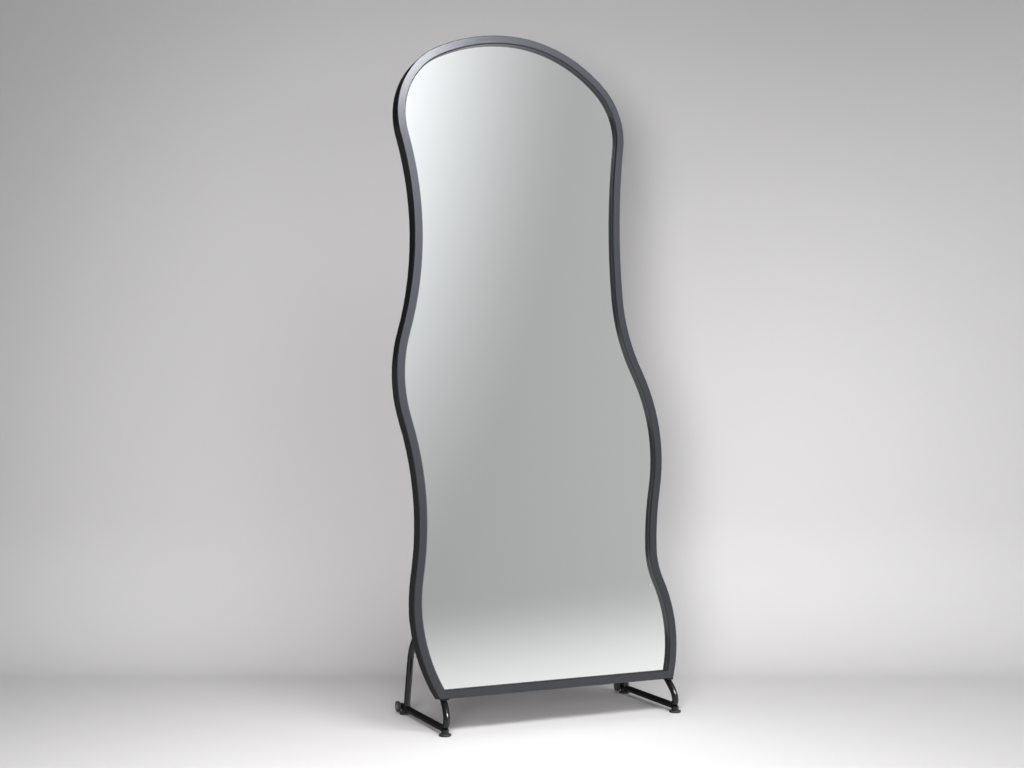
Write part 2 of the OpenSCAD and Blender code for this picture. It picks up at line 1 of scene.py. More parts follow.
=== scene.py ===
import bmesh
import bpy
import json
import math
from mathutils import Euler, Matrix, Vector


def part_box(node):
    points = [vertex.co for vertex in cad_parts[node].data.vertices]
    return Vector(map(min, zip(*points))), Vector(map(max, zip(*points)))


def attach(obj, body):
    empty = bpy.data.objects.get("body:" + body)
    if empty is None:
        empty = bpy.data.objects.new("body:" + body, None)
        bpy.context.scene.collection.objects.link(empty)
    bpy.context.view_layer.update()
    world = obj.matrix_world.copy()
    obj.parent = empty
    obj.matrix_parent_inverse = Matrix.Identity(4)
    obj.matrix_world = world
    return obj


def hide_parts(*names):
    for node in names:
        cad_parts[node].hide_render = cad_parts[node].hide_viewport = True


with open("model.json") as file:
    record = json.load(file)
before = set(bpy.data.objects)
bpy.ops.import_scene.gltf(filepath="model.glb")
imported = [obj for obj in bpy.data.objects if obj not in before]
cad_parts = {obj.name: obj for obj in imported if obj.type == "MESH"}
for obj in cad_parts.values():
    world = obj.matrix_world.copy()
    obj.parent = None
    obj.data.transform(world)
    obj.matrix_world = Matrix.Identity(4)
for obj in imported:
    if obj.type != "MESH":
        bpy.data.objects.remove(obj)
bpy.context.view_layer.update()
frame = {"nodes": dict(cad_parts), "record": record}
nodes = frame["nodes"]
print("frame loaded,", len(nodes), "nodes")


# node trees

def newMaterial(name):
    material = bpy.data.materials.new(name)
    material.use_nodes = True
    tree = material.node_tree
    tree.nodes.clear()
    output = tree.nodes.new("ShaderNodeOutputMaterial")
    shader = tree.nodes.new("ShaderNodeBsdfPrincipled")
    tree.links.new(shader.outputs["BSDF"], output.inputs["Surface"])
    return material, tree, shader


def addNode(tree, kind, inputs=None, **settings):
    node = tree.nodes.new(kind)
    for key, value in settings.items():
        setattr(node, key, value)
    for key, value in (inputs or {}).items():
        node.inputs[key].default_value = value
    return node


def newGroup(name, inputs, outputs):
    group = bpy.data.node_groups.new(name, "ShaderNodeTree")
    for label, kind, value in inputs:
        socket = group.interface.new_socket(name=label, in_out="INPUT", socket_type=kind)
        socket.default_value = value
    for label, kind in outputs:
        group.interface.new_socket(name=label, in_out="OUTPUT", socket_type=kind)
    start = group.nodes.new("NodeGroupInput")
    end = group.nodes.new("NodeGroupOutput")
    return group, start, end


def placeGroup(tree, group, values):
    node = tree.nodes.new("ShaderNodeGroup")
    node.node_tree = group
    for key, value in values.items():
        node.inputs[key].default_value = value
    return node


# fine unevenness of a surface: a height for the bump and a soft cloud for the colour and gloss
def makeSkinGroup():
    group, start, end = newGroup(
        "coatedSkin",
        [("Grain Size", "NodeSocketFloat", 900.0), ("Cloud Size", "NodeSocketFloat", 9.0)],
        [("Height", "NodeSocketFloat"), ("Cloud", "NodeSocketFloat")])
    coords = addNode(group, "ShaderNodeTexCoord")
    grain = addNode(group, "ShaderNodeTexNoise", {"Detail": 3.0, "Roughness": 0.55})
    cloud = addNode(group, "ShaderNodeTexNoise", {"Detail": 4.0, "Roughness": 0.6})
    group.links.new(coords.outputs["Object"], grain.inputs["Vector"])
    group.links.new(coords.outputs["Object"], cloud.inputs["Vector"])
    group.links.new(start.outputs["Grain Size"], grain.inputs["Scale"])
    group.links.new(start.outputs["Cloud Size"], cloud.inputs["Scale"])
    group.links.new(grain.outputs["Fac"], end.inputs["Height"])
    group.links.new(cloud.outputs["Fac"], end.inputs["Cloud"])
    return group


# how far a rounded normal differs from the flat one: a thin line along the arrises, broken up by handling
def makeEdgeWearGroup():
    group, start, end = newGroup(
        "edgeWear",
        [("Breakup Size", "NodeSocketFloat", 120.0), ("Width", "NodeSocketFloat", 0.0005)],
        [("Wear", "NodeSocketFloat")])
    geometry = addNode(group, "ShaderNodeNewGeometry")
    rounded = addNode(group, "ShaderNodeBevel", samples=4)
    dot = addNode(group, "ShaderNodeVectorMath", operation="DOT_PRODUCT")
    edge = addNode(group, "ShaderNodeMapRange", {"From Min": 0.995, "From Max": 0.90})
    coords = addNode(group, "ShaderNodeTexCoord")
    noise = addNode(group, "ShaderNodeTexNoise", {"Detail": 5.0})
    breakup = addNode(group, "ShaderNodeMapRange", {"From Min": 0.35, "From Max": 0.62})
    both = addNode(group, "ShaderNodeMath", operation="MULTIPLY")
    group.links.new(start.outputs["Width"], rounded.inputs["Radius"])
    group.links.new(rounded.outputs["Normal"], dot.inputs[0])
    group.links.new(geometry.outputs["Normal"], dot.inputs[1])
    group.links.new(dot.outputs["Value"], edge.inputs["Value"])
    group.links.new(coords.outputs["Object"], noise.inputs["Vector"])
    group.links.new(start.outputs["Breakup Size"], noise.inputs["Scale"])
    group.links.new(noise.outputs["Fac"], breakup.inputs["Value"])
    group.links.new(edge.outputs["Result"], both.inputs[0])
    group.links.new(breakup.outputs["Result"], both.inputs[1])
    group.links.new(both.outputs["Value"], end.inputs["Wear"])
    return group


skinGroup = makeSkinGroup()
edgeWearGroup = makeEdgeWearGroup()


# a value from 0 to 1 becomes a roughness between the finish's two
def glossRange(tree, look):
    low, high = look["roughness"]
    return addNode(tree, "ShaderNodeMapRange", {"To Min": low, "To Max": high})


# a coated or plated finish: colour, worn colour, gloss that varies in soft clouds, and a fine grain
def coatedMaterial(name, look):
    material, tree, shader = newMaterial(name)
    skin = placeGroup(tree, skinGroup, {"Grain Size": look["grainSize"], "Cloud Size": look["cloudSize"]})
    wear = placeGroup(tree, edgeWearGroup, {"Breakup Size": look["wearSize"], "Width": look["wearWidth"]})
    gloss = glossRange(tree, look)
    tint = addNode(tree, "ShaderNodeMix", data_type="RGBA")
    tint.inputs["A"].default_value = look["color"]
    tint.inputs["B"].default_value = look["color2"]
    worn = addNode(tree, "ShaderNodeMix", data_type="RGBA")
    worn.inputs["B"].default_value = look["wornColor"]
    amount = addNode(tree, "ShaderNodeMath", {1: look["wear"]}, operation="MULTIPLY")
    bump = addNode(tree, "ShaderNodeBump", {"Strength": look["bump"], "Distance": look["bumpDepth"]})
    tree.links.new(skin.outputs["Cloud"], gloss.inputs["Value"])
    tree.links.new(skin.outputs["Cloud"], tint.inputs["Factor"])
    tree.links.new(tint.outputs["Result"], worn.inputs["A"])
    tree.links.new(wear.outputs["Wear"], amount.inputs[0])
    tree.links.new(amount.outputs["Value"], worn.inputs["Factor"])
    tree.links.new(worn.outputs["Result"], shader.inputs["Base Color"])
    tree.links.new(gloss.outputs["Result"], shader.inputs["Roughness"])
    tree.links.new(skin.outputs["Height"], bump.inputs["Height"])
    tree.links.new(bump.outputs["Normal"], shader.inputs["Normal"])
    shader.inputs["Metallic"].default_value = look["metallic"]
    shader.inputs["Coat Weight"].default_value = look.get("coat", 0.0)
    shader.inputs["Coat Roughness"].default_value = look.get("coatRoughness", 0.1)
    return material


frameLook = {
    "color": (0.026, 0.0275, 0.0325, 1), "color2": (0.030, 0.0315, 0.0370, 1),
    "wornColor": (0.16, 0.165, 0.18, 1), "wear": 0.35, "wearSize": 60.0, "wearWidth": 0.0006,
    "metallic": 0.85, "roughness": (0.34, 0.42), "coat": 0.85, "coatRoughness": 0.12,
    "grainSize": 1100.0, "cloudSize": 5.0, "bump": 0.06, "bumpDepth": 0.0001,
}
blackPaintLook = {
    "color": (0.0030, 0.0030, 0.0034, 1), "color2": (0.0045, 0.0045, 0.0050, 1),
    "wornColor": (0.06, 0.06, 0.06, 1), "wear": 0.15, "wearSize": 160.0, "wearWidth": 0.0004,
    "metallic": 0.0, "roughness": (0.08, 0.15),
    "grainSize": 350.0, "cloudSize": 14.0, "bump": 0.06, "bumpDepth": 0.0002,
}
zincLook = {
    "color": (0.46, 0.47, 0.48, 1), "color2": (0.60, 0.60, 0.59, 1),
    "wornColor": (0.75, 0.75, 0.75, 1), "wear": 0.4, "wearSize": 300.0, "wearWidth": 0.0003,
    "metallic": 1.0, "roughness": (0.25, 0.42),
    "grainSize": 700.0, "cloudSize": 60.0, "bump": 0.15, "bumpDepth": 0.0001,
}
blackPlasticLook = {
    "color": (0.016, 0.016, 0.017, 1), "color2": (0.026, 0.026, 0.027, 1),
    "wornColor": (0.08, 0.08, 0.08, 1), "wear": 0.5, "wearSize": 220.0, "wearWidth": 0.0004,
    "metallic": 0.0, "roughness": (0.30, 0.44),
    "grainSize": 2200.0, "cloudSize": 40.0, "bump": 0.25, "bumpDepth": 0.0002,
}
rollerPlasticLook = {
    "color": (0.085, 0.085, 0.088, 1), "color2": (0.11, 0.11, 0.115, 1),
    "wornColor": (0.2, 0.2, 0.2, 1), "wear": 0.4, "wearSize": 260.0, "wearWidth": 0.0003,
    "metallic": 0.0, "roughness": (0.30, 0.45),
    "grainSize": 2400.0, "cloudSize": 50.0, "bump": 0.2, "bumpDepth": 0.0002,
}
rubberLook = {
    "color": (0.020, 0.020, 0.020, 1), "color2": (0.033, 0.032, 0.031, 1),
    "wornColor": (0.12, 0.115, 0.11, 1), "wear": 0.6, "wearSize": 240.0, "wearWidth": 0.0005,
    "metallic": 0.0, "roughness": (0.45, 0.62),
    "grainSize": 1700.0, "cloudSize": 70.0, "bump": 0.35, "bumpDepth": 0.0003,
}
tapeLook = {
    "color": (0.012, 0.012, 0.012, 1), "color2": (0.02, 0.02, 0.02, 1),
    "wornColor": (0.03, 0.03, 0.03, 1), "wear": 0.0, "wearSize": 100.0, "wearWidth": 0.0002,
    "metallic": 0.0, "roughness": (0.6, 0.8),
    "grainSize": 3000.0, "cloudSize": 30.0, "bump": 0.3, "bumpDepth": 0.0003,
}


# silvered glass: a clean mirror with the faintest haze
def mirrorMaterial(name, look):
    material, tree, shader = newMaterial(name)
    skin = placeGroup(tree, skinGroup, {"Cloud Size": look["cloudSize"]})
    haze = glossRange(tree, look)
    tree.links.new(skin.outputs["Cloud"], haze.inputs["Value"])
    tree.links.new(haze.outputs["Result"], shader.inputs["Roughness"])
    shader.inputs["Base Color"].default_value = look["color"]
    shader.inputs["Metallic"].default_value = 1.0
    return material


mirrorLook = {"color": (0.899, 0.918, 0.912, 1), "cloudSize": 5.0, "roughness": (0.004, 0.014)}


# hardboard: short pressed fibres on a brown ground
def boardMaterial(name, look):
    material, tree, shader = newMaterial(name)
    coords = addNode(tree, "ShaderNodeTexCoord")
    stretch = addNode(tree, "ShaderNodeMapping", {"Scale": look["fibreScale"]})
    fibre = addNode(tree, "ShaderNodeTexNoise", {"Scale": 1.0, "Detail": 6.0, "Roughness": 0.7})
    skin = placeGroup(tree, skinGroup, {"Cloud Size": look["cloudSize"]})
    ramp = addNode(tree, "ShaderNodeValToRGB")
    for stop, place, color in zip(ramp.color_ramp.elements, look["fibreStops"], look["fibreColors"]):
        stop.position = place
        stop.color = color
    gloss = glossRange(tree, look)
    bump = addNode(tree, "ShaderNodeBump", {"Strength": look["bump"], "Distance": look["bumpDepth"]})
    tree.links.new(coords.outputs["Object"], stretch.inputs["Vector"])
    tree.links.new(stretch.outputs["Vector"], fibre.inputs["Vector"])
    tree.links.new(fibre.outputs["Fac"], ramp.inputs["Fac"])
    tree.links.new(ramp.outputs["Color"], shader.inputs["Base Color"])
    tree.links.new(skin.outputs["Cloud"], gloss.inputs["Value"])
    tree.links.new(gloss.outputs["Result"], shader.inputs["Roughness"])
    tree.links.new(fibre.outputs["Fac"], bump.inputs["Height"])
    tree.links.new(bump.outputs["Normal"], shader.inputs["Normal"])
    return material


boardLook = {
    "fibreScale": (260.0, 260.0, 90.0), "fibreStops": (0.35, 0.68),
    "fibreColors": ((0.150, 0.096, 0.060, 1), (0.340, 0.230, 0.145, 1)),
    "cloudSize": 4.0, "roughness": (0.42, 0.62), "bump": 0.3, "bumpDepth": 0.0002,
}

finishes = {
    "frame_finish": coatedMaterial("frameFinish", frameLook),
    "mirror_glass": mirrorMaterial("silveredGlass", mirrorLook),
    "bedding_tape": coatedMaterial("beddingTape", tapeLook),
    "back_board": boardMaterial("backBoard", boardLook),
    "zinc_plate": coatedMaterial("zincPlate", zincLook),
    "screw_steel": coatedMaterial("screwSteel", zincLook),
    "black_paint": coatedMaterial("blackPaint", blackPaintLook),
    "black_plastic": coatedMaterial("blackPlastic", blackPlasticLook),
    "roller_plastic": coatedMaterial("rollerPlastic", rollerPlasticLook),
    "roller_rubber": coatedMaterial("rollerRubber", rubberLook),
}
slotOfNode = {part["node"]: part["material_slot"] for part in frame["record"]["subparts"]}
print("materials ready,", len(finishes))


bodyOfNode = {}  # the moving body that each node belongs to
for body, members in frame["record"]["behaviour"]["bodies"].items():
    for member in members:
        bodyOfNode[member] = body


# faces are shaded smooth, with a hard line where they meet steeply
def shadeSmooth(bm):
    for face in bm.faces:
        face.smooth = True
    for edge in bm.edges:
        edge.smooth = edge.calc_face_angle(0.0) < math.radians(easing["sharpAngle"])


# a new object with this mesh stands for a CAD node, in its finish, and moves with its body
def standIn(mesh, nodeName, ending):
    mesh.materials.clear()
    mesh.materials.append(finishes[slotOfNode[nodeName]])
    piece = bpy.data.objects.new(nodeName + ending, mesh)
    bpy.context.scene.collection.objects.link(piece)
    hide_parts(nodeName)
    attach(piece, bodyOfNode[nodeName])
    return piece


# a CAD node's own shape again, welded and shaded smooth, with its hard edges eased by a small round
def easedCopy(nodeName, easeWidth):
    mesh = nodes[nodeName].data.copy()
    bm = bmesh.new()
    bm.from_mesh(mesh)
    bmesh.ops.remove_doubles(bm, verts=bm.verts, dist=easing["weld"])
    flatAngle = math.radians(easing["flatAngle"])
    bmesh.ops.dissolve_limit(bm, angle_limit=flatAngle, verts=bm.verts, edges=bm.edges)
    shadeSmooth(bm)
    bm.to_mesh(mesh)
    bm.free()
    piece = standIn(mesh, nodeName, ".eased")
    bevel = piece.modifiers.new("easedEdges", "BEVEL")
    bevel.width = easeWidth
    bevel.segments = easing["segments"]
    bevel.limit_method = "ANGLE"
    bevel.angle_limit = math.radians(easing["sharpAngle"])
    bevel.harden_normals = True


easing = {"weld": 0.00002, "flatAngle": 0.2, "sharpAngle": 28.0, "segments": 2}
easeWidths = {
    "frame_bow": 0.0007, "bottom_rail": 0.0007, "back_panel": 0.0003,
    "cross_bar": 0.0005, "strut_plate_left": 0.0005, "strut_plate_right": 0.0005, "leg_cap_left": 0.0004,
    "leg_cap_right": 0.0004, "corner_key_left": 0.0003, "corner_key_right": 0.0003, "panel_clips": 0.0003,
    "runner_plug_left": 0.0003, "runner_plug_right": 0.0003, "roller_axle_left": 0.0003,
    "roller_axle_right": 0.0003, "roller_hubs_left": 0.00025, "roller_hubs_right": 0.00025,
    "roller_tyres_left": 0.0004, "roller_tyres_right": 0.0004,
    "glide_stem_front_left": 0.0002, "glide_stem_front_right": 0.0002, "glide_stem_rear_left": 0.0002,
    "glide_stem_rear_right": 0.0002, "plate_nuts": 0.0002, "plate_bolts": 0.00015, "key_screws": 0.0001,
    "clip_screws": 0.0001, "bar_screws": 0.0001,
}

for nodeName, node in nodes.items():
    node.data.materials.clear()
    node.data.materials.append(finishes[slotOfNode[nodeName]])
for nodeName, easeWidth in easeWidths.items():
    easedCopy(nodeName, easeWidth)
print("edges eased on", len(easeWidths), "pieces")


# a newly modelled shape stands for a CAD node
def replaceNode(bm, nodeName, ending):
    shadeSmooth(bm)
    mesh = bpy.data.meshes.new(nodeName + ending)
    bm.to_mesh(mesh)
    bm.free()
    standIn(mesh, nodeName, ending)


# leg, in its own upright plane: y is behind the front foot, z above the runner's middle, lengths in metres.
# Angles are headings from upright, forwards positive, and a step is (straight length) or (bend radius, turn).
legShape = {
    "radius": 0.008, "sides": 48, "splay": 6.0, "runnerHeight": 0.0155, "stepAngle": 4.0,
    "runnerStart": 0.286,
    "runnerSteps": [(0.2705,), (0.020, -107.0), (0.050, -30.0), (0.045,)],
    "strutStart": 0.250, "strutHeading": -3.0,
    "strutSteps": [(0.116,), (0.085, 55.0), (0.075,), (0.085, 30.0), (0.070,)],
    "frameLean": 8.0, "frameLift": 0.083, "plateDepth": 0.045,
    "bossRadius": 0.0090, "bossBottom": 0.007, "bossSides": 32,
}


tinyGap = 1e-6  # points nearer than this are one point


# a tube along straights and bends, closed at its start
def bentTube(start, heading, steps, look):
    bm = bmesh.new()
    place = Vector((0, start, 0))
    turned = math.radians(heading)
    bmesh.ops.create_circle(bm, cap_ends=True, segments=look["sides"], radius=look["radius"],
                            matrix=Matrix.Translation(place) @ Matrix.Rotation(turned, 4, "X"))
    ring = list(bm.edges)
    for step in steps:
        ahead = Vector((0, -math.sin(turned), math.cos(turned)))
        if len(step) == 1:
            grown = bmesh.ops.spin(bm, geom=ring, cent=place, axis=(1, 0, 0), dvec=ahead * step[0],
                                   angle=0, steps=1)
            place = place + ahead * step[0]
        else:
            turn = math.radians(step[1])
            inward = Vector((0, -math.cos(turned), -math.sin(turned)))
            centre = place + inward * math.copysign(step[0], turn)
            grown = bmesh.ops.spin(bm, geom=ring, cent=centre, axis=(1, 0, 0), angle=turn,
                                   steps=math.ceil(abs(step[1]) / look["stepAngle"]))
            place = centre + Matrix.Rotation(turn, 3, "X") @ (place - centre)
            turned += turn
        ring = [item for item in grown["geom_last"] if isinstance(item, bmesh.types.BMEdge)]
    return bm


# everything beyond a plane is cut off, and the cut is closed
def cutOff(bm, point, outward):
    cut = bmesh.ops.bisect_plane(bm, geom=bm.verts[:] + bm.edges[:] + bm.faces[:], dist=tinyGap,
                                 plane_co=point, plane_no=outward, clear_outer=True)
    cutEdges = [item for item in cut["geom_cut"] if isinstance(item, bmesh.types.BMEdge)]
    bmesh.ops.edgeloop_fill(bm, edges=cutEdges)
    bmesh.ops.recalc_face_normals(bm, faces=bm.faces)


# where a foot pad stands on the floor
def padPlace(nodeName):
    low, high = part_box(nodeName)
    return (low[0] + high[0]) / 2, (low[1] + high[1]) / 2


# a leg: one tube for the runner and the front upright, a second for the strut, and a boss over each foot pad
def makeLeg(nodeName, side, look):
    foot = Vector((*padPlace(nodeName.replace("leg", "glide_pad_front")), look["runnerHeight"]))
    stand = Matrix.Translation(foot) @ Matrix.Rotation(math.radians(-side * look["splay"]), 4, "Y")
    lean = math.radians(look["frameLean"])
    alongFrame = Vector((0, math.sin(lean), math.cos(lean)))
    intoFrame = Vector((0, math.cos(lean), -math.sin(lean)))
    frontEdge = Vector((0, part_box("bottom_rail")[0][1], look["frameLift"]))
    runner = bentTube(look["runnerStart"], 90.0, look["runnerSteps"], look)
    bmesh.ops.transform(runner, verts=runner.verts, matrix=stand)
    cutOff(runner, frontEdge, alongFrame)
    strut = bentTube(look["strutStart"], look["strutHeading"], look["strutSteps"], look)
    bmesh.ops.transform(strut, verts=strut.verts, matrix=stand)
    cutOff(strut, frontEdge + intoFrame * look["plateDepth"], -intoFrame)
    bossHeight = look["runnerHeight"] - look["bossBottom"]
    for end in ("front", "rear"):
        padName = nodeName.replace("leg", "glide_pad_" + end)
        middle = Vector((*padPlace(padName), look["bossBottom"] + bossHeight / 2))
        bmesh.ops.create_cone(runner, cap_ends=True, segments=look["bossSides"], radius1=look["bossRadius"],
                              radius2=look["bossRadius"], depth=bossHeight, matrix=Matrix.Translation(middle))
    whole = bpy.data.meshes.new(nodeName)
    strut.to_mesh(whole)
    strut.free()
    runner.from_mesh(whole)
    bpy.data.meshes.remove(whole)
    replaceNode(runner, nodeName, ".tube")


# a foot pad: a full puck with a rounded rim. Its profile is (radius, height) from the floor up, in metres.
def makePad(nodeName, look):
    bm = bmesh.new()
    points = [bm.verts.new((radius, 0, height)) for radius, height in look["profile"]]
    line = [bm.edges.new(pair) for pair in zip(points, points[1:])]
    bmesh.ops.spin(bm, geom=points + line, cent=(0, 0, 0), axis=(0, 0, 1), angle=math.radians(360),
                   steps=look["sides"], use_merge=True)
    bmesh.ops.remove_doubles(bm, verts=bm.verts, dist=tinyGap)
    rim = [edge for edge in bm.edges if edge.is_boundary]
    bmesh.ops.edgeloop_fill(bm, edges=rim)
    bmesh.ops.recalc_face_normals(bm, faces=bm.faces)
    bmesh.ops.translate(bm, verts=bm.verts, vec=(*padPlace(nodeName), 0))
    replaceNode(bm, nodeName, ".puck")


padShape = {
    "sides": 64,
    "profile": [(0, 0), (0.0132, 0), (0.0142, 0.0005), (0.0145, 0.0014), (0.0145, 0.0036), (0.0141, 0.0046),
                (0.0130, 0.0053), (0.0090, 0.0064), (0.0045, 0.0064)],
}


for name, side in (("leg_left", -1), ("leg_right", 1)):
    makeLeg(name, side, legShape)
for end in ("front", "rear"):
    for hand in ("left", "right"):
        makePad("glide_pad_" + end + "_" + hand, padShape)
print("legs and foot pads made")


# studio

studio = {
    "turn": -24.75, "cornerAt": (-1.629, -3.434), "floorReach": 4.26, "sweepRadius": 0.42, "sweepSteps": 32,
    "wallHeight": 5.0, "halfWidth": 9.0, "frontReach": 6.0, "nearLine": 0.0001,
    "paperColor": (0.475, 0.466, 0.469, 1), "cloudShade": 0.985, "cloudSize": 2.0, "roughness": 0.8,
}


# matt paper. Seen from behind it is clear, so that the object can be viewed from all sides.
def paperMaterial(look):
    material, tree, shader = newMaterial("backdropPaper")
    skin = placeGroup(tree, skinGroup, {"Cloud Size": look["cloudSize"]})
    paper = addNode(tree, "ShaderNodeMix", data_type="RGBA")
    paper.inputs["A"].default_value = look["paperColor"]
    paper.inputs["B"].default_value = [part * look["cloudShade"] for part in look["paperColor"][:3]] + [1]
    tree.links.new(skin.outputs["Cloud"], paper.inputs["Factor"])
    tree.links.new(paper.outputs["Result"], shader.inputs["Base Color"])
    shader.inputs["Roughness"].default_value = look["roughness"]
    geometry = addNode(tree, "ShaderNodeNewGeometry")
    clear = addNode(tree, "ShaderNodeBsdfTransparent")
    side = addNode(tree, "ShaderNodeMixShader")
    tree.links.new(geometry.outputs["Backfacing"], side.inputs["Fac"])
    tree.links.new(shader.outputs["BSDF"], side.inputs[1])
    tree.links.new(clear.outputs["BSDF"], side.inputs[2])
    tree.links.new(side.outputs["Shader"], tree.nodes["Material Output"].inputs["Surface"])
    return material


# the edges that lie at this depth
def edgesAt(bm, depth, look):
    near = look["nearLine"]
    return [edge for edge in bm.edges if all(abs(vert.co.y - depth) < near for vert in edge.verts)]


# the sheet grows from these edges by a straight step
def growSheet(bm, edges, step):
    grown = bmesh.ops.extrude_edge_only(bm, edges=edges)["geom"]
    bmesh.ops.translate(bm, verts=[item for item in grown if isinstance(item, bmesh.types.BMVert)], vec=step)


# a paper sweep square to the camera: the floor runs back, turns up in a quarter circle and goes on as the
# wall. More floor lies beyond the wall.
def makeBackdrop(look):
    bm = bmesh.new()
    near = -look["frontReach"]
    far = look["floorReach"]
    radius = look["sweepRadius"]
    start = [bm.verts.new((side * look["halfWidth"], near, 0)) for side in (-1, 1)]
    growSheet(bm, [bm.edges.new(start)], (0, far - near, 0))
    bmesh.ops.spin(bm, geom=edgesAt(bm, far, look), cent=(0, far, radius), axis=(1, 0, 0),
                   angle=math.radians(90), steps=look["sweepSteps"], use_merge=False)
    growSheet(bm, edgesAt(bm, far + radius, look), (0, 0, look["wallHeight"]))
    bmesh.ops.recalc_face_normals(bm, faces=bm.faces)
    if min(bm.faces, key=lambda face: face.calc_center_median().z).normal.z < 0:
        bmesh.ops.reverse_faces(bm, faces=bm.faces)
    beyond = Matrix.Translation((0, far + look["halfWidth"], 0))
    bmesh.ops.create_grid(bm, x_segments=1, y_segments=1, size=look["halfWidth"], matrix=beyond)
    turn = Matrix.Rotation(math.radians(look["turn"]), 3, "Z")
    bmesh.ops.rotate(bm, verts=bm.verts, cent=(0, 0, 0), matrix=turn)
    bmesh.ops.translate(bm, verts=bm.verts, vec=(*look["cornerAt"], 0))
    mesh = bpy.data.meshes.new("backdrop")
    bm.to_mesh(mesh)
    bm.free()
    for polygon in mesh.polygons:
        polygon.use_smooth = True
    backdrop = bpy.data.objects.new("backdrop", mesh)
    bpy.context.scene.collection.objects.link(backdrop)
    mesh.materials.append(paperMaterial(look))
    backdrop.visible_glossy = False


makeBackdrop(studio)


# the running sum of colours, which starts as None
def addTo(tree, total, value):
    if total is None:
        return value
    node = addNode(tree, "ShaderNodeVectorMath", operation="ADD")
    tree.links.new(total, node.inputs[0])
    tree.links.new(value, node.inputs[1])
    return node.outputs["Vector"]


# the direction of a light in the surroundings and the level direction across it. Azimuth 0 is straight ahead
# of the object.
def lightDirections(look):
    azimuth = math.radians(look["azimuth"])
    elevation = math.radians(look["elevation"])
    across = Vector((math.cos(azimuth), math.sin(azimuth), 0))
    front = Vector((math.sin(azimuth), -math.cos(azimuth), 0))
    return front * math.cos(elevation) + Vector((0, 0, math.sin(elevation))), across


# an oval pool of light in the surroundings, given by the azimuth and elevation of its middle, its half
# width and half height, its roll, the part of it that is full on, and how steeply it fades
def lightPool(tree, coords, pool):
    middle, across = lightDirections(pool)
    upward = middle.cross(across)
    roll = math.radians(pool["roll"])
    across, upward = (across * math.cos(roll) + upward * math.sin(roll),
                      upward * math.cos(roll) - across * math.sin(roll))
    place = addNode(tree, "ShaderNodeCombineXYZ")
    for socket, direction in (("X", across / pool["size"][0]), ("Y", upward / pool["size"][1])):
        dot = addNode(tree, "ShaderNodeVectorMath", {1: direction}, operation="DOT_PRODUCT")
        tree.links.new(coords, dot.inputs[0])
        tree.links.new(dot.outputs["Value"], place.inputs[socket])
    distance = addNode(tree, "ShaderNodeVectorMath", operation="LENGTH")
    tree.links.new(place.outputs["Vector"], distance.inputs[0])
    ramp = addNode(tree, "ShaderNodeMapRange", {"From Min": 1.0, "From Max": pool["full"]})
    tree.links.new(distance.outputs["Value"], ramp.inputs["Value"])
    fade = addNode(tree, "ShaderNodeMath", {1: pool["fade"]}, operation="POWER")
    tree.links.new(ramp.outputs["Result"], fade.inputs[0])
    ahead = addNode(tree, "ShaderNodeVectorMath", {1: middle}, operation="DOT_PRODUCT")
    tree.links.new(coords, ahead.inputs[0])
    near = addNode(tree, "ShaderNodeMath", {1: 0.0}, operation="GREATER_THAN")
    tree.links.new(ahead.outputs["Value"], near.inputs[0])
    seen = addNode(tree, "ShaderNodeMath", operation="MULTIPLY")
    tree.links.new(fade.outputs["Value"], seen.inputs[0])
    tree.links.new(near.outputs["Value"], seen.inputs[1])
    tint = [part * pool["amount"] for part in pool["tint"]]
    color = addNode(tree, "ShaderNodeVectorMath", {0: tint}, operation="SCALE")
    tree.links.new(seen.outputs["Value"], color.inputs["Scale"])
    return color.outputs["Vector"]


